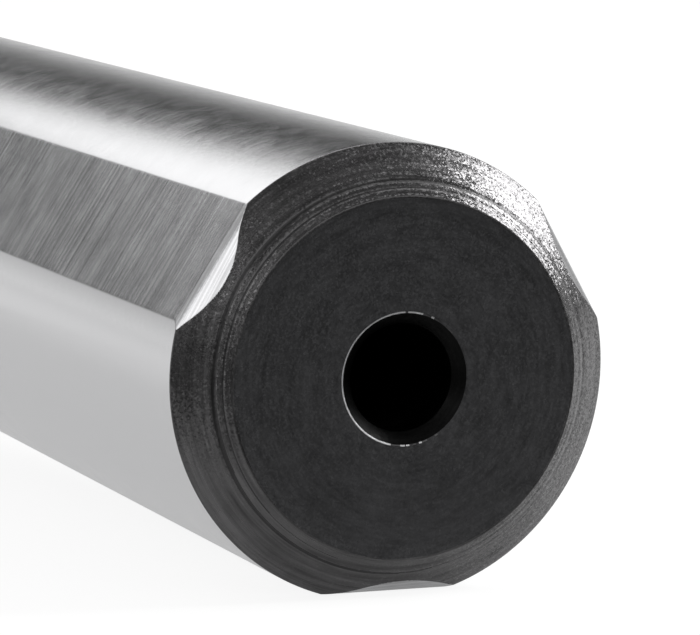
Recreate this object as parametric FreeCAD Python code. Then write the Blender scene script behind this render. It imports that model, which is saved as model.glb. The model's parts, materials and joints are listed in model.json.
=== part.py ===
"""Three-flute 90 degree countersink bit, ground from one bar of high-speed steel.

The bit is drawn along the X axis, with its tip at x = 0 and the end of its shank at x = OVERALL_LENGTH,
and is then laid on the bench as it comes to rest: on two of its lands and on one of the shank's flats.
Lengths are in millimetres and angles in degrees. Angles about the axis run from +Y towards +Z.
"""

import math
import os

import FreeCAD
import Part

Vector = FreeCAD.Vector

# Overall proportions
OVERALL_LENGTH = 56.0
HEAD_DIAMETER = 12.4
TIP_DIAMETER = 2.8
SHANK_DIAMETER = 8.0
POINT_ANGLE = 90.0

# Head, measured back from its cone
LAND_LENGTH = 3.6
BACK_ANGLE = 45.0
NECK_RADIUS = 2.0

# Flutes, each with a radial cutting face and a sloping back wall
FLUTE_COUNT = 3
FLUTE_TIP_CORE = 0.7
FLUTE_SLOPE = 10.0
FLUTE_OPENING = 65.0
FLUTE_BOTTOM_RADIUS = 0.6
FLUTE_WHEEL_RADIUS = 20.0

# Relief ground behind each cutting edge on the cone
RELIEF_OFFSET = 0.4

# Flats on the shank
FLAT_COUNT = 3
FLAT_DEPTH = 0.17
FLAT_LENGTH = 17.0
FLAT_WHEEL_RADIUS = 40.0
FLAT_LEAD_LENGTH = 0.78
FLAT_LEAD_ANGLE = 31.0
FLAT_LEAD_RADIUS = 0.6

# Turned end of the shank
END_CHAMFER_LENGTH = 0.75
END_CHAMFER_WIDTH = 0.85
END_RING_PLACES = (0.16, 0.32)
END_RING_WIDTHS = (0.09, 0.16)
END_RING_DEPTHS = (0.03, 0.05)

# Centre hole in the end of the shank
CENTRE_HOLE_DIAMETER = 1.86
CENTRE_HOLE_DEPTH = 6.0
CENTRE_HOLE_MOUTH_DIAMETER = 2.3
CENTRE_HOLE_MOUTH_ANGLE = 90.0
CENTRE_DRILL_ANGLE = 118.0

# Cutters reach this far past what they cut
OVERSHOOT = 2.0

AXIS_START = Vector(0, 0, 0)
AXIS = Vector(1, 0, 0)
DOWN = 270.0


def tan(degrees):
    return math.tan(math.radians(degrees))


def sin(degrees):
    return math.sin(math.radians(degrees))


def cos(degrees):
    return math.cos(math.radians(degrees))


# Places along the axis that follow from the sizes above
HEAD_RADIUS = HEAD_DIAMETER / 2
TIP_RADIUS = TIP_DIAMETER / 2
SHANK_RADIUS = SHANK_DIAMETER / 2
CONE_LENGTH = (HEAD_RADIUS - TIP_RADIUS) / tan(POINT_ANGLE / 2)
LAND_END = CONE_LENGTH + LAND_LENGTH
HEAD_END = LAND_END + (HEAD_RADIUS - SHANK_RADIUS) / tan(BACK_ANGLE)
FLAT_HEIGHT = SHANK_RADIUS - FLAT_DEPTH
FLAT_LEAD_START = OVERALL_LENGTH - FLAT_LEAD_LENGTH


def rounded_face(corners):
    """Flat face from (point, radius) corners: a corner with a radius becomes an arc tangent to its sides."""
    starts = []
    ends = []
    arcs = []
    for index, (corner, radius) in enumerate(corners):
        before = corners[index - 1][0]
        after = corners[(index + 1) % len(corners)][0]
        if not radius:
            starts.append(corner)
            ends.append(corner)
            continue
        to_before = (before - corner).normalize()
        to_after = (after - corner).normalize()
        half_angle = to_before.getAngle(to_after) / 2
        reach = radius / math.tan(half_angle)
        inward = (to_before + to_after).normalize()
        middle = corner + inward * (radius / math.sin(half_angle) - radius)
        starts.append(corner + to_before * reach)
        ends.append(corner + to_after * reach)
        arcs.append(Part.Arc(starts[-1], middle, ends[-1]).toShape())
    sides = [Part.makeLine(ends[index - 1], starts[index]) for index in range(len(corners))]
    wire = Part.Wire(Part.__sortEdges__(sides + arcs))
    return Part.Face(wire)


def repeated(shape, count):
    """Copies of a shape, evenly spaced about the axis."""
    return [shape.rotated(AXIS_START, AXIS, index * 360.0 / count) for index in range(count)]


def end_chamfer_outline():
    """Points from the rim of the shank to its end face, with the rings that the parting tool left."""
    rim = Vector(OVERALL_LENGTH - END_CHAMFER_LENGTH, 0, SHANK_RADIUS)
    face_edge = Vector(OVERALL_LENGTH, 0, SHANK_RADIUS - END_CHAMFER_WIDTH)
    along = rim - face_edge
    outward = Vector(along.z, 0, -along.x).normalize()
    unit = Vector(along).normalize()
    points = [face_edge]
    for place, width, depth in zip(END_RING_PLACES, END_RING_WIDTHS, END_RING_DEPTHS):
        bottom = face_edge + along * place
        points.append(bottom - unit * (width / 2))
        points.append(bottom - outward * depth)
        points.append(bottom + unit * (width / 2))
    points.append(rim)
    return points[::-1]


def centre_hole_outline():
    """Points of the centre hole, from its mouth in the end face to the bottom of its drill point."""
    radius = CENTRE_HOLE_DIAMETER / 2
    mouth_radius = CENTRE_HOLE_MOUTH_DIAMETER / 2
    mouth_depth = (mouth_radius - radius) / tan(CENTRE_HOLE_MOUTH_ANGLE / 2)
    point_depth = radius / tan(CENTRE_DRILL_ANGLE / 2)
    bottom = OVERALL_LENGTH - CENTRE_HOLE_DEPTH
    return [
        Vector(OVERALL_LENGTH, 0, mouth_radius),
        Vector(OVERALL_LENGTH - mouth_depth, 0, radius),
        Vector(bottom, 0, radius),
        Vector(bottom - point_depth, 0, 0),
    ]


def turned_blank():
    """The bar as it leaves the lathe: cone, land, back, neck, shank, end chamfer and centre hole."""
    corners = [
        (Vector(0, 0, 0), 0),
        (Vector(0, 0, TIP_RADIUS), 0),
        (Vector(CONE_LENGTH, 0, HEAD_RADIUS), 0),
        (Vector(LAND_END, 0, HEAD_RADIUS), 0),
        (Vector(HEAD_END, 0, SHANK_RADIUS), NECK_RADIUS),
    ]
    corners += [(point, 0) for point in end_chamfer_outline()]
    corners += [(point, 0) for point in centre_hole_outline()]
    return rounded_face(corners).revolve(AXIS_START, AXIS, 360)


def flat_cutter():
    """What the wheel takes off for one flat, above the axis: a rounded lead at the end and a long run-out."""
    top = SHANK_RADIUS + OVERSHOOT
    end = OVERALL_LENGTH + OVERSHOOT
    exit_angle = 20.0
    exit_corner = OVERALL_LENGTH - FLAT_LENGTH - FLAT_WHEEL_RADIUS * tan(exit_angle / 2)
    corners = [
        (Vector(end, 0, top), 0),
        (Vector(end, 0, FLAT_HEIGHT - (end - FLAT_LEAD_START) * tan(FLAT_LEAD_ANGLE)), 0),
        (Vector(FLAT_LEAD_START, 0, FLAT_HEIGHT), FLAT_LEAD_RADIUS),
        (Vector(exit_corner, 0, FLAT_HEIGHT), FLAT_WHEEL_RADIUS),
        (Vector(exit_corner - (top - FLAT_HEIGHT) / tan(exit_angle), 0, top), 0),
    ]
    width = Vector(0, SHANK_DIAMETER, 0)
    return rounded_face(corners).translated(width / -2).extrude(width)


def flute_core(station):
    """Distance of the flute's bottom from the axis at a station along the bit."""
    return FLUTE_TIP_CORE + station * tan(FLUTE_SLOPE)


def flute_gap(station):
    """Angle about the axis that a flute takes from the head's outer edge at a station."""
    opening = math.degrees(math.atan(tan(FLUTE_OPENING) * cos(FLUTE_SLOPE)))
    return opening - math.degrees(math.asin(flute_core(station) * sin(opening) / HEAD_RADIUS))


def flute_cutter():
    """One flute above the axis: a straight pass of the wheel from the tip, then the wheel's own run-out."""
    run = Vector(cos(FLUTE_SLOPE), 0, sin(FLUTE_SLOPE))
    out = Vector(-sin(FLUTE_SLOPE), 0, cos(FLUTE_SLOPE))
    turn = Vector(LAND_END, 0, flute_core(LAND_END))
    reach = HEAD_DIAMETER
    back_wall = Vector(0, sin(FLUTE_OPENING), 0) + out * cos(FLUTE_OPENING)
    section = rounded_face(
        [
            (turn, FLUTE_BOTTOM_RADIUS),
            (turn + back_wall * reach, 0),
            (turn + out * reach, 0),
        ]
    )
    wheel_centre = turn + out * FLUTE_WHEEL_RADIUS
    run_out_angle = 45.0
    straight = section.extrude(run * -(LAND_END / cos(FLUTE_SLOPE) + OVERSHOOT * 2))
    run_out = section.revolve(wheel_centre, Vector(0, -1, 0), run_out_angle)
    return straight.fuse(run_out)


def relief_cutter():
    """What relief grinding takes off behind the cutting edge above the axis: all outside an offset cone."""
    lead_in = 5.0
    sector = 360.0 / FLUTE_COUNT
    reach = HEAD_DIAMETER
    start = 90.0 - lead_in
    pie = [AXIS_START]
    for share in (0, 1 / 3, 2 / 3, 1):
        angle = start + sector * share
        pie.append(Vector(0, cos(angle), sin(angle)) * reach)
    land = Part.Face(Part.makePolygon(pie + [AXIS_START])).extrude(AXIS * LAND_END)
    apex = Vector(-TIP_RADIUS / tan(POINT_ANGLE / 2), RELIEF_OFFSET, 0)
    length = LAND_END + OVERSHOOT - apex.x
    cone = Part.makeCone(0, length * tan(POINT_ANGLE / 2), length, apex, AXIS)
    return land.cut(cone)


def bit_on_axis():
    """The finished bit along the X axis, with one flute and one flat facing down."""
    cutting_face = DOWN + flute_gap(LAND_END) / 2
    flute = flute_cutter().rotated(AXIS_START, AXIS, cutting_face - 90.0)
    relief = relief_cutter().rotated(AXIS_START, AXIS, cutting_face - 90.0)
    flat = flat_cutter().rotated(AXIS_START, AXIS, DOWN - 90.0)
    bit = turned_blank()
    for cutter in repeated(flat, FLAT_COUNT) + repeated(flute, FLUTE_COUNT) + repeated(relief, FLUTE_COUNT):
        bit = bit.cut(cutter)
    return bit


def resting_tilt():
    """How far the shank's end drops when the bit lies on two lands and on the rounded end of a flat."""
    land_height = HEAD_RADIUS * cos(flute_gap(LAND_END) / 2)
    flat_end = FLAT_LEAD_START - FLAT_LEAD_RADIUS * tan(FLAT_LEAD_ANGLE / 2)
    height = land_height - FLAT_HEIGHT + FLAT_LEAD_RADIUS
    length = flat_end - LAND_END
    return math.degrees(math.acos(FLAT_LEAD_RADIUS / math.hypot(height, length)) - math.atan2(length, height))


def resting_placement():
    """Tilts the bit to its rest, centres its length over the origin and sets its lands on z = 0."""
    tilt = FreeCAD.Rotation(Vector(0, 1, 0), resting_tilt())
    land = Vector(LAND_END, 0, -HEAD_RADIUS * cos(flute_gap(LAND_END) / 2))
    tip_corner = Vector(0, 0, -TIP_RADIUS)
    end_corner = Vector(OVERALL_LENGTH, 0, SHANK_RADIUS - END_CHAMFER_WIDTH)
    middle = (tilt.multVec(tip_corner).x + tilt.multVec(end_corner).x) / 2
    lowest = tilt.multVec(land).z
    return FreeCAD.Placement(Vector(-middle, 0, -lowest), tilt)


def main():
    bit = bit_on_axis()
    bit = bit.transformed(resting_placement().toMatrix(), True)
    os.makedirs("parts", exist_ok=True)
    bit.exportStep("parts/countersink_bit.step")


main()
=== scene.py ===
"""Dresses the countersink bit: its ground, turned and blackened steel, and the white table it lies on.

Stations are counted in millimetres along the bit from its tip, and angles about the axis run from the
photograph's far side (+Y) up towards +Z. The mesh is made in the bit's own frame and then laid down
where the record's mounts say that the shank lies.
"""

import json
import math

import bpy
from mathutils import Matrix, Vector


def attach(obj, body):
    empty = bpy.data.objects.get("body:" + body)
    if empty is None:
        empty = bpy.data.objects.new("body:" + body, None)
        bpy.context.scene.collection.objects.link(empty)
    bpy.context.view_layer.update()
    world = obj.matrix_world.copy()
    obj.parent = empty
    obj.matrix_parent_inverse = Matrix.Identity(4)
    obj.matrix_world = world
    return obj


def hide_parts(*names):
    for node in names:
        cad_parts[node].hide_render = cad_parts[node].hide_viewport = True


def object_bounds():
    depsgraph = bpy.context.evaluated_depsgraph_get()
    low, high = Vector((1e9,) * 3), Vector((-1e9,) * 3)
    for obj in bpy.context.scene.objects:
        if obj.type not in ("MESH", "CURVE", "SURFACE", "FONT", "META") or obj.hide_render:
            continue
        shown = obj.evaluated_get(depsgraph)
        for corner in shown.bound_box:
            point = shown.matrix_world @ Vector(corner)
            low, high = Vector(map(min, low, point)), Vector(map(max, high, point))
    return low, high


bl_info = {
    "name": "Countersink Bit",
    "version": (1, 0, 0),
    "blender": (4, 5, 0),
    "location": "View3D > Sidebar > Countersink",
    "description": "Builds a three-flute countersink bit with a chamfered, centre-drilled shank",
    "category": "Object",
}

MM = 0.001

# The flutes and the flats stand evenly about the axis: how many, and the angle from one to the next.
# The first flat points down, the next to the far side and the last to the camera's side.
SECTORS = 3
SECTOR = 360 / SECTORS
DOWN = 270.0
CAMERA_SIDE = DOWN + 2 * SECTOR - 360

# Slope of the head's back, which is the cone's too, and the angle of a cutting edge in its own sector
SLOPE = 45.0
CUTTING_EDGE = 90.0

# Small sizes of the turned end, in millimetres, and half the angle of the drill that made the hole
LIP_WIDTH = 0.035
LIP_ROUNDING = 0.015
FACE_DROP = 0.01
HOLE_ROUNDING = 0.017
MOUTH_ROUNDING = 0.02
DRILL_TIP = 0.01
DRILL_HALF_ANGLE = 59

# Roundings where a flat meets its lead, and where either meets the round shank
LEAD_ROUNDING = 0.1
FLAT_ROUNDING = 0.008

# The last flat comes off its even place over this many millimetres. Its turn reaches this many degrees to
# either side of it, and fades out over the last of them.
OFFSET_RUN = 4
OFFSET_REACH = 55
OFFSET_FADE = 30

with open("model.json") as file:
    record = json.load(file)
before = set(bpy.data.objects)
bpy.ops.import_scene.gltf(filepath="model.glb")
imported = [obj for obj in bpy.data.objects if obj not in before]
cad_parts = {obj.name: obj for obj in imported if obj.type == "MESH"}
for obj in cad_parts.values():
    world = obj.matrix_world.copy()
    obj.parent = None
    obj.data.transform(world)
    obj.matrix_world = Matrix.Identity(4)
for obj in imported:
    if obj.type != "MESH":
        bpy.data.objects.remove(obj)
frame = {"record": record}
cad_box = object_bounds()
mounts = {mount["name"]: mount for mount in frame["record"]["mounts"]}


# Small helpers

HALVINGS = 40


def sin(degrees):
    return math.sin(math.radians(degrees))


def cos(degrees):
    return math.cos(math.radians(degrees))


def tan(degrees):
    return math.tan(math.radians(degrees))


def mix(start, end, share):
    return start + (end - start) * share


def steps(start, end, count, ease=1.0):
    """Values from start up to, but not including, end. An ease above 1 crowds them towards the end."""
    return [mix(start, end, 1 - (1 - index / count) ** ease) for index in range(count)]


def crossing(test, inside, outside):
    """The value between inside and outside at which the test stops being true."""
    for _ in range(HALVINGS):
        middle = (inside + outside) / 2
        if test(middle):
            inside = middle
        else:
            outside = middle
    return inside


def apart(first, second):
    """Angle between two directions about the axis."""
    return abs((first - second + 180) % 360 - 180)


def waver(value, waves):
    """Sum of waves, each with its height, its rate and its start."""
    return sum(height * math.sin(rate * value + start) for height, rate, start in waves)


# What a user can change

def length(name, description, default_mm):
    return bpy.props.FloatProperty(
        name=name, description=description, default=default_mm * MM, min=0.0, unit="LENGTH", precision=5
    )


def angle(name, description, default_degrees):
    return bpy.props.FloatProperty(
        name=name, description=description, default=math.radians(default_degrees), subtype="ANGLE"
    )


def colour(name, description, default):
    return bpy.props.FloatVectorProperty(
        name=name, description=description, default=default, size=3, min=0.0, max=1.0, subtype="COLOR"
    )


class BitSizes(bpy.types.PropertyGroup):
    """Sizes of the bit."""

    overall_length: length("Overall length", "From the tip to the end of the shank", 56.0)
    head_diameter: length("Head diameter", "Across the cutting head", 12.392)
    tip_diameter: length("Tip diameter", "Across the flat tip", 2.8)
    land_length: length("Land length", "Cylindrical land behind the cone", 3.6)
    neck_radius: length("Neck radius", "Rounding between the head and the shank", 2.0)
    shank_diameter: length("Shank diameter", "Across the round shank", 8.0)
    tip_core: length("Core at the tip", "Distance of a flute's bottom from the axis at the tip", 0.7)
    flute_slope: angle("Flute slope", "Angle between a flute's bottom and the axis", 10.0)
    flute_opening: angle("Flute opening", "Angle between a cutting face and the back wall", 65.0)
    flute_bottom: length("Flute bottom radius", "Rounding in the bottom of a flute", 0.6)
    flute_wheel: length("Flute wheel radius", "Radius of the wheel that ground the flutes", 20.0)
    relief: length("Relief", "Offset of the relief cone behind a cutting edge", 0.4)
    flat_depth: length("Flat depth", "How deep each flat is ground into the shank", 0.17)
    flat_length: length("Flat length", "Straight part of a flat, from the end of the shank", 17.0)
    flat_wheel: length("Flat wheel radius", "Radius of the wheel that ground the flats", 40.0)
    lead_length: length("Lead length", "Sloping lead of a flat at the end of the shank", 0.738)
    lead_angle: angle("Lead angle", "Slope of the lead", 34.0)
    lead_turn: angle("Lead turn", "How far two of the leads are turned about the axis from their flats", 2.5)
    flat_offset: angle("Flat offset", "How far the flat on the camera's side is off its even place", -1.4)
    chamfer_length: length("Chamfer length", "End chamfer along the axis", 0.75)
    chamfer_width: length("Chamfer width", "End chamfer across the axis", 0.85)
    hole_diameter: length("Centre hole diameter", "Bore of the centre hole", 1.86)
    hole_depth: length("Centre hole depth", "Depth of the centre hole's wall", 6.0)
    mouth_diameter: length("Centre hole mouth", "Diameter of the chamfered mouth", 2.3)
    edge_break: length("Edge break", "Width of the rounding left on a turned edge", 0.02)


class BitColours(bpy.types.PropertyGroup):
    """Colours of the bit's finishes and of the table."""

    ground: colour("Ground steel", "Round surface of the shank and the head", (0.62, 0.62, 0.63))
    flats: colour("Flats", "Flats of the shank", (0.56, 0.56, 0.57))
    turned: colour("Turned chamfer", "Dark turned chamfer at the end", (0.125, 0.123, 0.125))
    blackened: colour("Blackened face", "Dark end face of the shank", (0.042, 0.042, 0.044))
    bore: colour("Centre hole", "Wall of the centre hole", (0.02, 0.02, 0.02))
    table: colour("Table", "White surface under the bit", (0.9, 0.9, 0.9))


class BitCamera(bpy.types.PropertyGroup):
    """Where the photograph was taken from."""

    azimuth: angle("Azimuth", "Turn of the camera about the bit", 68.681)
    elevation: angle("Elevation", "Height of the camera above the horizon", 5.344)
    roll: angle("Roll", "Tilt of the picture", 0.452)
    distance: length("Distance", "From the camera to the point it is aimed at", 77.364)
    aim: bpy.props.FloatVectorProperty(
        name="Aim",
        description="Point in the middle of the picture",
        default=(0.0275039, -0.0008553, 0.0048311),
        precision=6,
        subtype="TRANSLATION",
    )
    focal_length: bpy.props.FloatProperty(
        name="Focal length", description="Focal length of the lens, in millimetres", default=232.892
    )


# Form of the bit

class Form:
    """The bit's surfaces in its own frame, in millimetres."""

    def __init__(self, sizes):
        self.length = sizes.overall_length / MM
        self.head = sizes.head_diameter / MM / 2
        self.tip = sizes.tip_diameter / MM / 2
        self.shank = sizes.shank_diameter / MM / 2
        self.cone_end = self.head - self.tip
        self.land_end = self.cone_end + sizes.land_length / MM
        self.head_end = self.land_end + self.head - self.shank
        self.neck_radius = sizes.neck_radius / MM
        self.neck_start = self.head_end - self.neck_radius * tan(SLOPE / 2) * cos(SLOPE)
        self.neck_end = self.head_end + self.neck_radius * tan(SLOPE / 2)
        self.relief = sizes.relief / MM
        self.edge_break = sizes.edge_break / MM
        self.prepare_flutes(sizes)
        self.prepare_flats(sizes)
        self.prepare_end(sizes)

    def prepare_flutes(self, sizes):
        """The wheel that grinds a flute, with a straight face, a rounded bottom and a back wall."""
        self.slope = math.degrees(sizes.flute_slope)
        self.opening = math.degrees(sizes.flute_opening)
        self.bottom = sizes.flute_bottom / MM
        self.wheel = sizes.flute_wheel / MM
        self.core = sizes.tip_core / MM + self.land_end * tan(self.slope)
        self.reach = self.bottom / tan(self.opening / 2)
        self.bend = self.bottom * math.radians(180 - self.opening)
        across = math.degrees(math.atan(tan(self.opening) * cos(self.slope)))
        self.gap = across - math.degrees(math.asin(self.core * sin(across) / self.head))
        self.cutting_face = DOWN + self.gap / 2

    def prepare_flats(self, sizes):
        self.flat_height = self.shank - sizes.flat_depth / MM
        self.flat_start = self.length - sizes.flat_length / MM
        self.flat_wheel = sizes.flat_wheel / MM
        self.lead_start = self.length - sizes.lead_length / MM
        self.lead_angle = math.degrees(sizes.lead_angle)
        self.lead_turns = (math.degrees(sizes.lead_turn), 0.0, math.degrees(sizes.lead_turn))
        self.flat_offset = math.degrees(sizes.flat_offset)
        self.run_out = math.sqrt(2 * self.flat_wheel * (self.shank - self.flat_height))

    def prepare_end(self, sizes):
        self.chamfer_length = sizes.chamfer_length / MM
        self.chamfer_width = sizes.chamfer_width / MM
        self.rim = self.length - self.chamfer_length
        self.face = self.shank - self.chamfer_width
        self.hole = sizes.hole_diameter / MM / 2
        self.hole_bottom = self.length - sizes.hole_depth / MM
        self.mouth = sizes.mouth_diameter / MM / 2

    def relieved(self, station, turn):
        """Radius of the relieved cone, at an angle counted from 90 at the cutting edge."""
        circle = station + self.tip
        return self.relief * cos(turn) + math.sqrt(circle**2 - (self.relief * sin(turn)) ** 2)

    def crease(self, turn):
        """Station at which the relieved cone reaches the land."""
        return math.hypot(self.head - self.relief * cos(turn), self.relief * sin(turn)) - self.tip

    def land(self, station, turn):
        """Radius of the land, which is the same everywhere."""
        return self.head

    def back(self, station, turn):
        """Radius of the head's back, its neck and the shank, which is the same all round."""
        if station <= self.neck_start:
            return self.head - (station - self.land_end)
        if station >= self.neck_end:
            return self.shank
        away = self.neck_end - station
        return self.shank + self.neck_radius - math.sqrt(self.neck_radius**2 - away**2)

    def flute_section(self, place):
        """Sideways offset and height of the wheel's section, by the length along it from its bottom."""
        half = self.bend / 2
        if place >= half:
            return 0.0, self.reach + place - half
        if place <= -half:
            along = self.reach - half - place
            return along * sin(self.opening), along * cos(self.opening)
        swing = math.degrees((half - place) / self.bottom)
        return self.bottom * (1 - cos(swing)), self.reach - self.bottom * sin(swing)

    def flute_point(self, place, station):
        """Sideways offset and distance above the axis of what the wheel leaves at a station."""
        side, height = self.flute_section(place)
        before = (station - self.land_end + height * sin(self.slope)) / cos(self.slope)
        if before <= 0:
            return side, self.core + height * cos(self.slope) + before * sin(self.slope)
        centre = self.land_end - self.wheel * sin(self.slope)
        top = self.core + self.wheel * cos(self.slope)
        left = (self.wheel - height) ** 2 - (station - centre) ** 2
        return side, top - math.sqrt(max(left, 0.0))

    def in_metal(self, place, station, outer):
        """Whether the flute's surface lies under the outer surface there."""
        side, up = self.flute_point(place, station)
        turn = math.degrees(math.atan2(up, side))
        if turn < CUTTING_EDGE - 0.1:
            turn += SECTOR
        return math.hypot(side, up) < outer(station, turn)

    def flat_at(self, station):
        """Height of the flats above the axis at a station."""
        away = max(self.flat_start - station, 0.0)
        return self.flat_height + self.flat_wheel - math.sqrt(max(self.flat_wheel**2 - away**2, 0.0))

    def lead_at(self, station):
        """Height of the sloping leads above the axis at a station."""
        return self.flat_height - (station - self.lead_start) * tan(self.lead_angle)

    def ground_to(self, station, turn, lead_turn):
        """Distance from the axis that a flat and its lead leave, at an angle from the middle of the flat."""
        flat = self.flat_at(station) / cos(turn)
        return soften(flat, self.lead_at(station) / cos(turn - lead_turn), LEAD_ROUNDING)

    def tilt(self):
        """How far the shank's end drops, from the shank's own mount."""
        axis = mounts["shank"]["axis"]
        return math.degrees(math.atan2(-axis[2], axis[0]))

    def lay_down(self):
        """Matrix from the bit's own frame, in millimetres, to where it lies, in metres."""
        axis = Vector(mounts["shank"]["axis"]).normalized()
        point = Vector(mounts["shank"]["pos_m"])
        end = point + axis * (Vector(mounts["shank_end"]["pos_m"]) - point).dot(axis)
        turn = Matrix.Rotation(math.radians(self.tilt()), 4, "Y")
        from_end = Matrix.Translation((-self.length, 0, 0))
        return Matrix.Translation(end) @ turn @ Matrix.Scale(MM, 4) @ from_end


def soften(first, second, width):
    """The smaller of two radii, with the edge where they meet rounded off."""
    near = max(width - abs(first - second), 0.0)
    return min(first, second) - near * near / (4 * width)


# Rings of the mesh: every ring has as many points as the next, so that they join up into quads

FLUTE_POINTS = 44
LAND_POINTS = 44
SECTOR_POINTS = FLUTE_POINTS + LAND_POINTS
RING_POINTS = SECTORS * SECTOR_POINTS

# How many of a flute's points lie on each of its walls, the least share of its width that they take, and
# how often a flute's corner is looked for, each time nearer to its place
WALL_POINTS = 10
WALL_SHARE = 0.3
CORNER_ROUNDS = 3

# How many rings each stretch of the bit has
RINGS = {
    "tip": 10,
    "cone": 18,
    "land": 8,
    "back": 6,
    "neck": 12,
    "flutes' ends": 16,
    "plain shank": 8,
    "flats' run-out": 14,
    "flats": 12,
    "leads": 16,
    "chamfer": 70,
}

# Share of the cone that counts as the tip, and how much the rings close up at the flutes' ends
TIP_SHARE = 0.16
CROWDING = 2.2

# Lengths in millimetres: one that counts as none, the gap after the flutes, and the leads' own stretch
NONE_LEFT = 0.001
FLUTE_GAP = 0.02
LEAD_STRETCH = 0.3

# Angles in degrees: points crowd this near to a flat's edges, which lie between these from its middle
EDGE_NEAR = 0.5
LEAST_EDGE = 6
GREATEST_EDGE = SECTOR / 2 - 1


def around(sectors, start):
    """A ring of the points of its sectors, the first one turned by a start angle."""
    ring = []
    for sector, points in enumerate(sectors):
        turn = start + SECTOR * sector
        for station, side, up in points:
            across = side * cos(turn) - up * sin(turn)
            ring.append(Vector((station, across, side * sin(turn) + up * cos(turn))))
    return ring


def flute_places(form, first, last):
    """Places down the back wall of a flute, round its bottom and up its cutting face."""
    low = max(-form.bend / 2, mix(first, last, WALL_SHARE))
    high = min(form.bend / 2, mix(first, last, 1 - WALL_SHARE))
    bottom = steps(low, high, FLUTE_POINTS - 2 * WALL_POINTS)
    return steps(first, low, WALL_POINTS) + bottom + steps(high, last, WALL_POINTS)


def head_ring(form, where, outer):
    """One ring of the head. where gives the station at an angle, and outer the radius there.

    Near the tip the flutes do not reach down to the relieved cone. There the ring follows the cone up to
    the next cutting edge and steps out to it.
    """
    next_edge = CUTTING_EDGE + SECTOR
    corner = next_edge - form.gap
    outside = -1.5 * form.head
    for _ in range(CORNER_ROUNDS):
        station = where(corner)
        first = crossing(lambda place: form.in_metal(place, station, outer), 0, outside)
        side, up = form.flute_point(first, station)
        corner = math.degrees(math.atan2(up, side)) + SECTOR
    face, edge, half = where(CUTTING_EDGE), CUTTING_EDGE, form.bend / 2
    foot = min(form.flute_point(half, face)[1], outer(face, next_edge))
    height = outer(face, CUTTING_EDGE) - foot
    last = half + height
    if height < NONE_LEFT:
        last = crossing(lambda place: form.in_metal(place, face, outer), 0, half)
        side, up = form.flute_point(last, face)
        edge = math.degrees(math.atan2(up, side))
    points = []
    for index, place in enumerate(flute_places(form, first, last)):
        along = mix(station, face, index / FLUTE_POINTS)
        side, up = form.flute_point(place, along)
        if place > half:
            side, up = 0.0, foot + place - half
        else:
            limit = outer(along, math.degrees(math.atan2(up, side)) + SECTOR) / math.hypot(side, up)
            side, up = side * min(limit, 1.0), up * min(limit, 1.0)
        points.append((along, side, up))
    for index in range(LAND_POINTS):
        turn = mix(edge, corner, index / LAND_POINTS)
        along = where(turn)
        radius = outer(along, turn)
        points.append((along, radius * cos(turn), radius * sin(turn)))
    return around([points] * SECTORS, form.cutting_face - CUTTING_EDGE)


def head_rings(form):
    """Rings from the tip to where the flutes run out, each with the band that follows it."""
    rings = []
    for share in steps(0, TIP_SHARE, RINGS["tip"]) + steps(TIP_SHARE, 1, RINGS["cone"]):
        rings.append((head_ring(form, lambda turn: form.crease(turn) * share, form.relieved), "cone"))
    for share in steps(0, 1, RINGS["land"]):
        ring = head_ring(form, lambda turn: mix(form.crease(turn), form.land_end, share), form.land)
        rings.append((ring, "land"))
    flute_end = crossing(
        lambda station: form.in_metal(0, station, form.back), form.land_end, form.length / 2
    )
    stations = steps(form.land_end, form.neck_start, RINGS["back"])
    stations += steps(form.neck_start, form.neck_end, RINGS["neck"])
    stations += steps(form.neck_end, flute_end, RINGS["flutes' ends"], CROWDING)
    for station in stations:
        rings.append((head_ring(form, lambda turn: station, form.back), "back"))
    return rings, flute_end


def spread(first, last, near):
    """Angles from one edge up to, but not including, the next, with some crowded on the two edges."""
    inner = LAND_POINTS - 4
    turns = [first, first + near / 2]
    turns += [mix(first + near, last - near, index / inner) for index in range(inner + 1)]
    return turns + [last - near / 2]


def flat_edges(form, station, radius, lead_turn):
    """Angles of the two edges of a flat, from the flat's middle."""
    def cut(turn):
        return form.ground_to(station, turn, lead_turn) < radius

    first, last = lead_turn, lead_turn
    if cut(lead_turn):
        first = -crossing(lambda turn: cut(-turn), -lead_turn, GREATEST_EDGE)
        last = crossing(cut, lead_turn, GREATEST_EDGE)
    return min(first, lead_turn - LEAST_EDGE), max(last, lead_turn + LEAST_EDGE)


def shank_turns(form, station, radius):
    """Angles of each sector's points: across its flat, then round to the edge of the next one."""
    edges = [flat_edges(form, station, radius, lead_turn) for lead_turn in form.lead_turns]
    turns = []
    for sector, (first, last) in enumerate(edges):
        end = SECTOR + edges[(sector + 1) % SECTORS][0]
        turns.append(spread(first, last, EDGE_NEAR) + spread(last, end, EDGE_NEAR))
    return turns


def shank_ring(form, station, radius):
    """One ring of the shank, its chamfer, its end face or its hole: round, and clipped by the flats."""
    sectors = []
    for sector, turns in enumerate(shank_turns(form, station, radius)):
        points = []
        for turn in turns:
            away, lead = turn, sector
            if turn >= SECTOR / 2:
                away, lead = turn - SECTOR, (sector + 1) % SECTORS
            reach = radius
            if abs(away) < GREATEST_EDGE:
                ground = form.ground_to(station, away, form.lead_turns[lead])
                reach = soften(radius, ground, FLAT_ROUNDING)
            points.append((station, reach * cos(turn), reach * sin(turn)))
        sectors.append(points)
    return around(sectors, DOWN)


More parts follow.
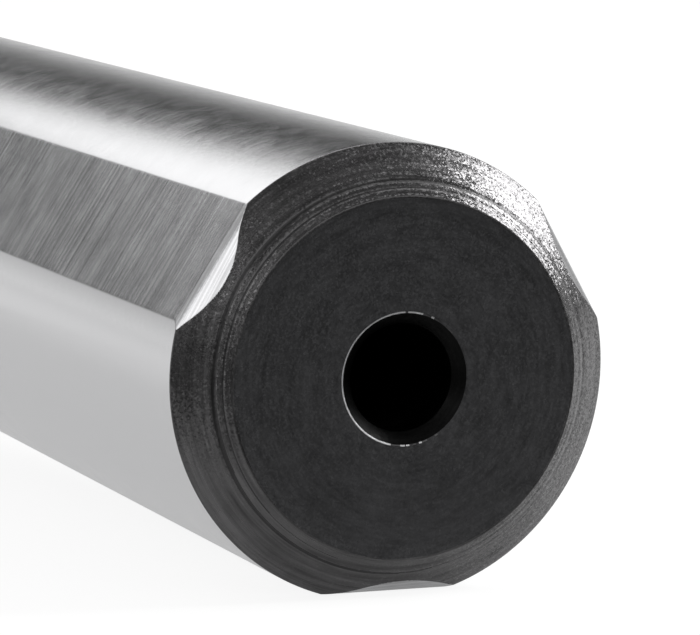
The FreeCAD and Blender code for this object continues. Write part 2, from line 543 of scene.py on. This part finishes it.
def plain_rings(form, flute_end):
    """Rings of the plain shank. They lead the points from the flutes' ends to the edges of the flats."""
    last_ring = head_ring(form, lambda turn: flute_end - NONE_LEFT, form.back)
    old = [math.degrees(math.atan2(point.z, point.y)) for point in last_ring[:SECTOR_POINTS]]
    old = [(turn - DOWN + SECTOR / 2) % 360 - SECTOR / 2 for turn in old]
    start = form.flat_start - form.run_out
    rings = []
    for station in steps(flute_end + FLUTE_GAP, start, RINGS["plain shank"]):
        share = (station - flute_end) / (start - flute_end)
        sectors = []
        for new in shank_turns(form, start, form.shank):
            turns = [mix(before, after, share) for before, after in zip(old, new)]
            sectors.append([(station, form.shank * cos(turn), form.shank * sin(turn)) for turn in turns])
        rings.append((around(sectors, DOWN), "shank"))
    return rings


ROUNDING_SHARES = (0.0, 0.25, 0.5, 0.75, 1.0)


def rounded(before, corner, after, width):
    """Points of a small rounding, of a given width on each side of a corner."""
    start = corner + (before - corner).normalized() * width
    end = corner + (after - corner).normalized() * width
    return [start.lerp(corner, share).lerp(corner.lerp(end, share), share) for share in ROUNDING_SHARES]


# Where the chamfer's rings start and end, as shares of the way from the end face to the rim
CHAMFER_SHARES = (0.965, 0.03)


def chamfer_outline(form):
    """Places on the turned chamfer, from the rounding at the rim to the one at the end face."""
    rim = Vector((form.rim, form.shank))
    edge = Vector((form.length, form.face))
    return [edge.lerp(rim, share) for share in steps(*CHAMFER_SHARES, RINGS["chamfer"])]


# Rings of the turning tool on the chamfer: place, width, depth and least share of the depth. Places and
# widths are shares of the chamfer, and the depth is in millimetres.
TOOL_RINGS = (
    (0.055, 0.02, 0.005, 0.3),
    (0.16, 0.028, 0.01, 0.3),
    (0.31, 0.042, 0.016, 0.3),
    (0.47, 0.03, 0.004, 0.0),
)

# Waves of these rings, and how far above the camera's side the tool dug in most, in radians
RING_WAVES = ((0.02, 3, 1), (0.012, 7, 0))
DUG_TURN = 0.5


def tool_rings(form, point):
    """How deep the rings are pressed at a point of the chamfer. They are deeper where the tool dug in."""
    turn = math.atan2(point.z, point.y)
    dug = 0.5 - 0.5 * math.cos(turn + DUG_TURN)
    wave = waver(turn, RING_WAVES)
    share = (form.length - point.x) / form.chamfer_length
    depth = 0.0
    for place, wide, deep, least in TOOL_RINGS:
        depth += deep * mix(least, 1.0, dug) * math.exp(-(((share - place - wave * place) / wide) ** 2))
    return depth


def press_rings(form, ring):
    """Presses the rings of the turning tool into a ring of the chamfer."""
    outward = Vector((form.chamfer_width, form.chamfer_length)).normalized()
    for point in ring:
        radius = math.hypot(point.y, point.z)
        depth = tool_rings(form, point)
        point.x -= outward.x * depth
        point.y *= 1 - outward.y * depth / radius
        point.z *= 1 - outward.y * depth / radius
    return ring


def end_outline(form):
    """Outline of the shank's end: rim, chamfer, lip, end face and centre hole."""
    rim = Vector((form.rim, form.shank))
    edge = Vector((form.length, form.face))
    lip = Vector((form.length, form.face - LIP_WIDTH))
    face = Vector((form.length - FACE_DROP, form.face - 2 * LIP_WIDTH))
    mouth = Vector((face.x, form.mouth))
    bore = Vector((form.length - (form.mouth - form.hole), form.hole))
    bottom = Vector((form.hole_bottom, form.hole))
    point = Vector((form.hole_bottom - form.hole / tan(DRILL_HALF_ANGLE), DRILL_TIP))
    worn = rounded(face, mouth, bore, HOLE_ROUNDING)
    outline = [(spot, "chamfer") for spot in rounded(rim - Vector((1, 0)), rim, edge, form.edge_break)]
    outline += [(spot, "chamfer") for spot in chamfer_outline(form)]
    outline += [(spot, "lip") for spot in rounded(rim, edge, lip, LIP_ROUNDING)]
    outline += [(lip, "face"), (face, "face")]
    outline += [(face.lerp(mouth, share), "face") for share in (0.2, 0.4, 0.6, 0.8)]
    # The hole's rounded edge carries a painted highlight, bright on one side only
    outline += [(spot, "edge") for spot in worn[:-1]]
    outline += [(worn[-1], "mouth")]
    outline += [(spot, "mouth") for spot in rounded(mouth, bore, bottom, MOUTH_ROUNDING)]
    outline += [(bore.lerp(bottom, share), "bore") for share in (0.1, 0.3, 0.6)]
    outline += [(bottom, "bore"), (point, "bore")]
    return outline


def shank_rings(form):
    """Rings along the flats and round the end of the shank, down to the bottom of the centre hole."""
    lead = form.lead_start - LEAD_STRETCH
    stations = steps(form.flat_start - form.run_out, form.flat_start, RINGS["flats' run-out"])
    stations += steps(form.flat_start, lead, RINGS["flats"])
    stations += steps(lead, form.rim - form.edge_break, RINGS["leads"])
    rings = [(shank_ring(form, station, form.shank), "shank") for station in stations]
    for spot, band in end_outline(form):
        ring = shank_ring(form, spot.x, spot.y)
        rings.append((press_rings(form, ring) if band == "chamfer" else ring, band))
    return rings


FINISHES = (
    "ground",
    "flats",
    "turned",
    "shaded_groove",
    "lip",
    "blackened",
    "edge",
    "mouth",
    "bore",
    "cone",
    "flute",
)
BAND_FINISH = {
    "cone": "cone",
    "land": "ground",
    "back": "ground",
    "shank": "ground",
    "chamfer": "turned",
    "lip": "lip",
    "face": "blackened",
    "mouth": "mouth",
    "bore": "bore",
}

# A flat counts as cut, and a face as lying on it, from these depths, and a ring as a groove, painted darker
# as shade, from this one
FLAT_CUT = 0.003
ON_FLAT = 0.004
GROOVE_DEPTH = 0.006

# The hole's edge has a painted highlight round this angle: bright within the first limit, and dull within
# the second
HIGHLIGHT_MIDDLE = 170
HIGHLIGHT_WAVES = ((14, 0.37, 0), (12, 1.13, 1))
HIGHLIGHT_BRIGHT = 98
HIGHLIGHT_DULL = 122


def finish_of(form, band, corners, column):
    """Finish of one face of the mesh, from its band and its place in the sector."""
    sector, place = divmod(column, SECTOR_POINTS)
    in_flute = place < FLUTE_POINTS
    if band in ("cone", "land", "back"):
        return "flute" if in_flute else BAND_FINISH[band]
    middle = sum(corners, Vector()) / len(corners)
    heading = math.degrees(math.atan2(middle.z, middle.y))
    if band in ("shank", "chamfer") and in_flute and form.flat_at(middle.x) < form.shank - FLAT_CUT:
        turn = (heading - DOWN + SECTOR / 2) % SECTOR - SECTOR / 2
        ground = form.ground_to(middle.x, turn, form.lead_turns[sector])
        if math.hypot(middle.y, middle.z) > ground - ON_FLAT:
            return "flats"
    # Painted shade: faces deep in the tool's rings take a darker copy of the turned steel
    if band == "chamfer" and tool_rings(form, middle) > GROOVE_DEPTH:
        return "shaded_groove"
    # Painted highlight: the hole's edge is bright on one side, takes the lip's colour further round, and the
    # blackened face's beyond
    if band == "edge":
        away = apart(heading, HIGHLIGHT_MIDDLE) + waver(heading, HIGHLIGHT_WAVES)
        return "edge" if away < HIGHLIGHT_BRIGHT else "lip" if away < HIGHLIGHT_DULL else "blackened"
    return BAND_FINISH[band]


def set_off(form, point):
    """Turns a point of the shank about the axis with the flat that was ground a little off its place."""
    start = form.flat_start - form.run_out
    away = apart(math.degrees(math.atan2(point.z, point.y)), CAMERA_SIDE)
    along = min(max((point.x - start + OFFSET_RUN) / OFFSET_RUN, 0.0), 1.0)
    share = along * min(max((OFFSET_REACH - away) / OFFSET_FADE, 0.0), 1.0)
    point.rotate(Matrix.Rotation(math.radians(form.flat_offset * share), 3, "X"))


# Edges of the mesh that bend more than this are shaded as sharp
SHARP_ANGLE = 28


def bit_mesh(form):
    """The whole bit as one closed mesh."""
    head, flute_end = head_rings(form)
    rings = head + plain_rings(form, flute_end) + shank_rings(form)
    points = [point for ring, _ in rings for point in ring]
    faces = [list(range(RING_POINTS))]
    finishes = ["cone"]
    for index, (_, band) in enumerate(rings[:-1]):
        low, high = index * RING_POINTS, (index + 1) * RING_POINTS
        for column in range(RING_POINTS):
            after = (column + 1) % RING_POINTS
            face = [low + column, high + column, high + after, low + after]
            faces.append(face)
            finishes.append(finish_of(form, band, [points[corner] for corner in face], column))
    last = (len(rings) - 1) * RING_POINTS
    faces.append([last + column for column in reversed(range(RING_POINTS))])
    finishes.append("bore")
    for point in points:
        set_off(form, point)
    mesh = bpy.data.meshes.new("countersink")
    mesh.from_pydata(points, [], faces)
    mesh.transform(form.lay_down())
    mesh.polygons.foreach_set("material_index", [FINISHES.index(finish) for finish in finishes])
    mesh.polygons.foreach_set("use_smooth", [True] * len(faces))
    mesh.set_sharp_from_angle(angle=math.radians(SHARP_ANGLE))
    mesh.update()
    return mesh


# Finishes

class Nodes:
    """Short way to add shader nodes and link them up."""

    def __init__(self, tree):
        self.tree = tree
        tree.nodes.clear()

    def add(self, kind, inputs=None, **settings):
        node = self.tree.nodes.new(kind)
        for name, value in settings.items():
            setattr(node, name, value)
        for name, value in (inputs or {}).items():
            if isinstance(value, bpy.types.NodeSocket):
                self.tree.links.new(value, node.inputs[name])
            else:
                node.inputs[name].default_value = value
        return node

    def math(self, operation, *values):
        return self.add("ShaderNodeMath", dict(enumerate(values)), operation=operation).outputs[0]

    def vector_math(self, operation, *values):
        return self.add("ShaderNodeVectorMath", dict(enumerate(values)), operation=operation).outputs[0]

    def ramp(self, value, low, high, start=0.0, end=1.0):
        inputs = {"Value": value, "From Min": low, "From Max": high, "To Min": start, "To Max": end}
        return self.add("ShaderNodeMapRange", inputs, clamp=True).outputs[0]

    def fade(self, *ramps):
        """Product of ramps, each given by its value, where it starts and ends, and its levels there."""
        level = self.ramp(*ramps[0])
        for ramp in ramps[1:]:
            level = self.math("MULTIPLY", level, self.ramp(*ramp))
        return level

    def blend(self, *parts):
        """Sum of parts, each given by its value and its share."""
        total = self.math("MULTIPLY", *parts[0])
        for part in parts[1:]:
            total = self.math("ADD", total, self.math("MULTIPLY", *part))
        return total

    def noise(self, vector, scale, detail, roughness):
        inputs = {"Vector": vector, "Scale": scale, "Detail": detail, "Roughness": roughness}
        return self.add("ShaderNodeTexNoise", inputs).outputs[0]

    def tint(self, low, high, share):
        inputs = {6: (*low, 1.0), 7: (*high, 1.0), 0: share}
        return self.add("ShaderNodeMix", inputs, data_type="RGBA").outputs[2]

    def vector(self, x, y, z):
        return self.add("ShaderNodeCombineXYZ", {0: x, 1: y, 2: z}).outputs[0]

    def either(self, share, first, second):
        return self.add("ShaderNodeMixShader", {0: share, 1: first, 2: second}).outputs[0]

    def mirrored(self, path):
        """1 for a mirrored or refracted ray, and 0 for any other."""
        return self.math("MAXIMUM", path["Is Glossy Ray"], path["Is Transmission Ray"])


def bit_place(nodes, form):
    """Station, distance from the axis and direction about it, in millimetres, from where a point lies."""
    matrix = form.lay_down().inverted()
    where = nodes.add("ShaderNodeTexCoord").outputs["Object"]
    inputs = {
        "Vector": where,
        "Location": matrix.to_translation(),
        "Rotation": matrix.to_quaternion().to_euler(),
        "Scale": matrix.to_scale(),
    }
    place = nodes.add("ShaderNodeMapping", inputs, vector_type="POINT").outputs[0]
    split = nodes.add("ShaderNodeSeparateXYZ", {0: place}).outputs
    flat = nodes.vector(0.0, split["Y"], split["Z"])
    radius = nodes.add("ShaderNodeVectorMath", {0: flat}, operation="LENGTH").outputs["Value"]
    heading = nodes.add("ShaderNodeSeparateXYZ", {0: nodes.vector_math("NORMALIZE", flat)}).outputs
    return {
        "place": place,
        "station": split["X"],
        "radius": radius,
        "side": heading["Y"],
        "up": heading["Z"],
        "across": split["Y"],
        "height": split["Z"],
    }


# How many broad lines there are to a fine one, and clouds, pits and grains to a millimetre
BROAD_LINES = 0.31
CLOUDS = 1.3
PITS = 30.0
GRAINS = 32.0

# Between which values of its patterns a finish goes from dark to light, and from smooth to worn, and what
# shares of its roughness it has there
SHADES = (0.35, 0.65)
WEAR = (0.7, 1.3)
ROUGHNESS_SHARES = (0.85, 1.2)


def line_place(nodes, form, spot, lines, spacing, run):
    """Place on the bit counted in lines: one step across them is a spacing, and one along them a run."""
    along = (spot["station"], 1 / spacing)
    across, height = (spot["across"], 1 / run), (spot["height"], 1 / run)
    if lines == "round the axis":
        across, height = (spot["side"], form.shank / run), (spot["up"], form.shank / run)
    elif lines == "in rings":
        along = (spot["radius"], 1 / spacing)
        across, height = (spot["side"], form.face / run), (spot["up"], form.face / run)
    elif lines == "along the bit":
        along = (spot["station"], 1 / run)
        across, height = (spot["across"], 1 / spacing), (spot["height"], 1 / spacing)
    return nodes.vector(*[nodes.math("MULTIPLY", value, scale) for value, scale in (along, across, height)])


def steel(form, name, tone, roughness, lines, spacing, run, depth, grain, flakes, uneven, metallic=1.0):
    """Metal with fine lines left by the wheel or the tool.

    lines says what the lines follow, spacing and run how wide and how long they are, and depth and grain
    how deep the lines and the pits between them are, all in millimetres. flakes is how far the small
    grains of the surface are tilted, and uneven how much its colour changes.
    """
    material = bpy.data.materials.new(name)
    material.use_nodes = True
    nodes = Nodes(material.node_tree)
    spot = bit_place(nodes, form)
    fine = line_place(nodes, form, spot, lines, spacing, run)
    streaks = nodes.noise(fine, 1.0, 3.0, 0.6)
    broad = nodes.noise(fine, BROAD_LINES, 1.0, 0.5)
    cloud = nodes.noise(spot["place"], CLOUDS, 3.0, 0.6)
    pits = nodes.noise(spot["place"], PITS, 2.0, 0.7)
    cells = nodes.add("ShaderNodeTexVoronoi", {"Vector": spot["place"], "Scale": GRAINS}).outputs["Color"]
    shade = nodes.blend((streaks, 0.5), (broad, 0.3), (cloud, 0.2))
    dark = [channel * (1 - uneven) for channel in tone]
    light = [min(channel * (1 + uneven), 1.0) for channel in tone]
    base = nodes.tint(dark, light, nodes.ramp(shade, *SHADES))
    smooth, worn = [roughness * share for share in ROUGHNESS_SHARES]
    rough = nodes.ramp(nodes.math("ADD", broad, cloud), *WEAR, smooth, worn)
    relief = nodes.blend((streaks, depth), (pits, grain))
    bump = nodes.add("ShaderNodeBump", {"Height": relief, "Distance": MM, "Strength": 1.0}).outputs[0]
    tilts = nodes.vector_math("SUBTRACT", cells, (0.5, 0.5, 0.5))
    tilts = nodes.vector_math("MULTIPLY_ADD", tilts, [flakes] * 3, bump)
    inputs = {
        "Base Color": base,
        "Roughness": rough,
        "Metallic": metallic,
        "Normal": nodes.vector_math("NORMALIZE", tilts),
    }
    shader = nodes.add("ShaderNodeBsdfPrincipled", inputs)
    nodes.add("ShaderNodeOutputMaterial", {"Surface": shader.outputs[0]})
    return material


def bit_finishes(form, colours):
    """The materials of the bit, in the order of its finishes."""
    ground, flats, turned = tuple(colours.ground), tuple(colours.flats), tuple(colours.turned)
    blackened, bore = tuple(colours.blackened), tuple(colours.bore)
    mouth = [channel * 0.6 for channel in bore]
    # Painted highlight: the hole's edge is a brighter copy of the ground steel
    edge = [min(channel * 1.3, 1.0) for channel in ground]
    # Painted shade: the grooves are a darker copy of the turned steel
    shaded_groove = [channel * 0.5 for channel in turned]
    # Name, tone, roughness, lines with their spacing, run, depth, pits, tilt of the grains, unevenness
    made = {
        "ground": ("ground_shank", ground, 0.17, "round the axis", 0.02, 0.1, 1.5e-4, 1e-4, 0.012, 0.03),
        "flats": ("ground_flats", flats, 0.22, "across a flat", 0.03, 8.0, 3e-3, 4e-4, 0.04, 0.33),
        "turned": ("turned_chamfer", turned, 0.24, "in rings", 0.05, 1.2, 2e-3, 3e-3, 0.22, 0.45),
        "shaded_groove": ("turned_groove_painted_shade", shaded_groove, 0.3, "in rings", 0.05, 1.2, 2e-3, 2e-3, 0.15, 0.3),
        "lip": ("worn_lip", turned, 0.3, "in rings", 0.05, 0.8, 2e-3, 2e-3, 0.2, 0.4),
        "blackened": ("blackened_face", blackened, 0.45, "in rings", 0.06, 0.3, 3e-3, 3e-3, 0.5, 0.35, 0.5),
        "edge": ("painted_highlight_edge", edge, 0.45, "in rings", 0.05, 0.5, 1e-3, 1e-3, 0.2, 0.2),
        "mouth": ("hole_mouth", mouth, 0.35, "in rings", 0.05, 1.0, 2e-3, 2e-3, 0.1, 0.3),
        "bore": ("drilled_bore", bore, 0.4, "round the axis", 0.06, 1.0, 3e-3, 2e-3, 0.1, 0.3),
        "cone": ("relieved_cone", ground, 0.22, "round the axis", 0.05, 1.0, 1e-3, 3e-4, 0.04, 0.06),
        "flute": ("ground_flute", ground, 0.24, "along the bit", 0.04, 12.0, 2.5e-4, 2e-4, 0.03, 0.04),
    }
    return [steel(form, *made[finish]) for finish in FINISHES]


# Operators

class COUNTERSINK_OT_bit(bpy.types.Operator):
    """Make the countersink bit and lay it where its shank's mount lies"""

    bl_idname = "countersink.bit"
    bl_label = "Countersink bit"

    def execute(self, context):
        form = Form(context.scene.countersink_sizes)
        bit = bpy.data.objects.new("countersink", bit_mesh(form))
        for material in bit_finishes(form, context.scene.countersink_colours):
            bit.data.materials.append(material)
        context.scene.collection.objects.link(bit)
        evened = bit.modifiers.new("Even shading", "WEIGHTED_NORMAL")
        evened.keep_sharp = True
        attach(bit, "root")
        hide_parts("countersink_bit")
        return {"FINISHED"}


class COUNTERSINK_OT_stage(bpy.types.Operator):
    """Set out the white table, the room, the lamp and the camera"""

    bl_idname = "countersink.stage"
    bl_label = "Table, room, lamp and camera"

    def execute(self, context):
        scene = context.scene
        scene.view_settings.view_transform = "Standard"
        place_camera(scene, scene.countersink_camera)
        lay_table(scene, scene.countersink_colours)
        surround(scene)
        hang_lamp(scene)
        return {"FINISHED"}


def place_camera(scene, view):
    """The camera looks at the shank's end from the photograph's direction."""
    azimuth, elevation = view.azimuth, view.elevation
    back = Vector((
        math.sin(azimuth) * math.cos(elevation),
        -math.cos(azimuth) * math.cos(elevation),
        math.sin(elevation),
    ))
    camera = bpy.data.objects.new("camera", bpy.data.cameras.new("camera"))
    camera.data.lens = view.focal_length
    camera.data.clip_start = 0.005
    camera.data.clip_end = 10.0
    camera.location = Vector(view.aim) + back * view.distance
    roll = Matrix.Rotation(view.roll, 3, "Z").to_quaternion()
    camera.rotation_mode = "QUATERNION"
    camera.rotation_quaternion = back.to_track_quat("Z", "Y") @ roll
    scene.collection.objects.link(camera)
    scene.camera = camera


# Half the width of the table, in metres
TABLE_HALF = 1.5


def paper(nodes, tone, glow):
    """Grey paper with a glow of its own."""
    diffuse = nodes.add("ShaderNodeBsdfDiffuse", {"Color": (tone, tone, tone, 1.0)}).outputs[0]
    shine = nodes.add("ShaderNodeEmission", {"Color": (1, 1, 1, 1), "Strength": glow}).outputs[0]
    return nodes.add("ShaderNodeAddShader", {0: diffuse, 1: shine}).outputs[0]


def lay_table(scene, colours):
    """White paper, with painted shade that the steel mirrors, darker beyond the end of the shank."""
    mesh = bpy.data.meshes.new("table")
    corners = [(-TABLE_HALF, -TABLE_HALF, 0), (TABLE_HALF, -TABLE_HALF, 0)]
    corners += [(TABLE_HALF, TABLE_HALF, 0), (-TABLE_HALF, TABLE_HALF, 0)]
    mesh.from_pydata(corners, [], [(0, 1, 2, 3)])
    table = bpy.data.objects.new("table", mesh)
    material = bpy.data.materials.new("white_table")
    material.use_nodes = True
    nodes = Nodes(material.node_tree)
    path = nodes.add("ShaderNodeLightPath").outputs
    where = nodes.add("ShaderNodeTexCoord").outputs["Object"]
    along = nodes.add("ShaderNodeSeparateXYZ", {0: where}).outputs["X"]
    shank_end = cad_box[1][0]
    # Painted shade for mirrored rays: the paper is bright before the end of the shank and dark beyond it
    lit = nodes.ramp(along, shank_end - 4 * MM, shank_end + 6 * MM, 1.0, 0.1)
    dim = nodes.add("ShaderNodeBsdfDiffuse", {"Color": (0.05, 0.05, 0.05, 1.0)}).outputs[0]
    plain = nodes.add("ShaderNodeBsdfDiffuse", {"Color": (*colours.table, 1.0)}).outputs[0]
    shader = nodes.either(path["Is Camera Ray"], plain, paper(nodes, 0.2, 0.87))
    shader = nodes.either(nodes.mirrored(path), shader, nodes.either(lit, dim, paper(nodes, 0.6, 0.4)))
    nodes.add("ShaderNodeOutputMaterial", {"Surface": shader})
    table.data.materials.append(material)
    scene.collection.objects.link(table)


def surround(scene):
    """A white room. The steel mirrors a bright ceiling and a side panel over darker walls."""
    world = bpy.data.worlds.new("studio")
    world.use_nodes = True
    nodes = Nodes(world.node_tree)
    path = nodes.add("ShaderNodeLightPath").outputs
    ray = nodes.add("ShaderNodeTexCoord").outputs["Generated"]
    ray = nodes.add("ShaderNodeSeparateXYZ", {0: ray}).outputs
    x, y, z = ray["X"], ray["Y"], ray["Z"]
    # Each part of the room fades along x, y, z or the height, between two values of it and two levels
    walls = nodes.fade((z, 0.0, 0.25, 0.95, 0.02), (x, -0.3, 0.45, 1.0, 0.15))
    lift = nodes.fade((x, -0.92, -0.95, 0.0, 0.052), (y, -0.1, 0.0))
    height = nodes.math("ADD", nodes.math("MULTIPLY_ADD", y, -0.2, z), lift)
    ceiling = nodes.fade((height, 0.335, 0.38), (x, 0.25, -0.1, 0.0, 1.5), (y, -0.2, -0.4, 1.0, 0.35))
    side = nodes.fade((y, -0.66, -0.76), (x, 0.45, 0.3, 0.0, 1.7), (z, 0.35, 0.45), (x, -0.45, -0.25))
    front = nodes.fade((x, 0.53, 0.68, 0.0, 0.8), (z, 0.0, 0.2))
    least = nodes.ramp(x, 0.0, 0.3, 0.0, 0.22)
    shown = nodes.math("ADD", nodes.math("MAXIMUM", ceiling, side), front)
    shown = nodes.math("MAXIMUM", nodes.math("ADD", walls, shown), least)
    # The camera sees the room white, and all else is lit by a plainer one
    plain = nodes.add("ShaderNodeMix", {0: path["Is Camera Ray"], 2: 0.6, 3: 1.0}).outputs[0]
    strength = nodes.add("ShaderNodeMix", {0: nodes.mirrored(path), 2: plain, 3: shown}).outputs[0]
    light = nodes.add("ShaderNodeBackground", {"Color": (1, 1, 1, 1), "Strength": strength}).outputs[0]
    nodes.add("ShaderNodeOutputWorld", {"Surface": light})
    scene.world = world


def hang_lamp(scene):
    """One softbox, behind the bit on the picture's right and above it."""
    lamp = bpy.data.lights.new("right softbox", "AREA")
    lamp.shape = "RECTANGLE"
    lamp.size = 0.14
    lamp.size_y = 0.2
    lamp.energy = 1.0
    hung = bpy.data.objects.new("right softbox", lamp)
    place = Vector((0.02, 0.35, 0.21))
    aim = Vector((0.028, 0, 0.004))
    hung.location = place
    hung.rotation_mode = "QUATERNION"
    hung.rotation_quaternion = (place - aim).to_track_quat("Z", "Y")
    scene.collection.objects.link(hung)


class COUNTERSINK_PT_panel(bpy.types.Panel):
    """Everything that the countersink bit is made from"""

    bl_idname = "COUNTERSINK_PT_panel"
    bl_label = "Countersink bit"
    bl_space_type = "VIEW_3D"
    bl_region_type = "UI"
    bl_category = "Countersink"

    def draw(self, context):
        layout = self.layout
        for group in (
            context.scene.countersink_sizes,
            context.scene.countersink_colours,
            context.scene.countersink_camera,
        ):
            column = layout.column(align=True)
            for name in group.__annotations__:
                column.prop(group, name)
        layout.operator(COUNTERSINK_OT_bit.bl_idname)
        layout.operator(COUNTERSINK_OT_stage.bl_idname)


CLASSES = (
    BitSizes,
    BitColours,
    BitCamera,
    COUNTERSINK_OT_bit,
    COUNTERSINK_OT_stage,
    COUNTERSINK_PT_panel,
)


def register():
    for item in CLASSES:
        bpy.utils.register_class(item)
    bpy.types.Scene.countersink_sizes = bpy.props.PointerProperty(type=BitSizes)
    bpy.types.Scene.countersink_colours = bpy.props.PointerProperty(type=BitColours)
    bpy.types.Scene.countersink_camera = bpy.props.PointerProperty(type=BitCamera)


def unregister():
    del bpy.types.Scene.countersink_camera
    del bpy.types.Scene.countersink_colours
    del bpy.types.Scene.countersink_sizes
    for item in reversed(CLASSES):
        bpy.utils.unregister_class(item)


def main():
    register()
    bpy.ops.countersink.bit()
    bpy.ops.countersink.stage()


if __name__ == "__main__":
    main()
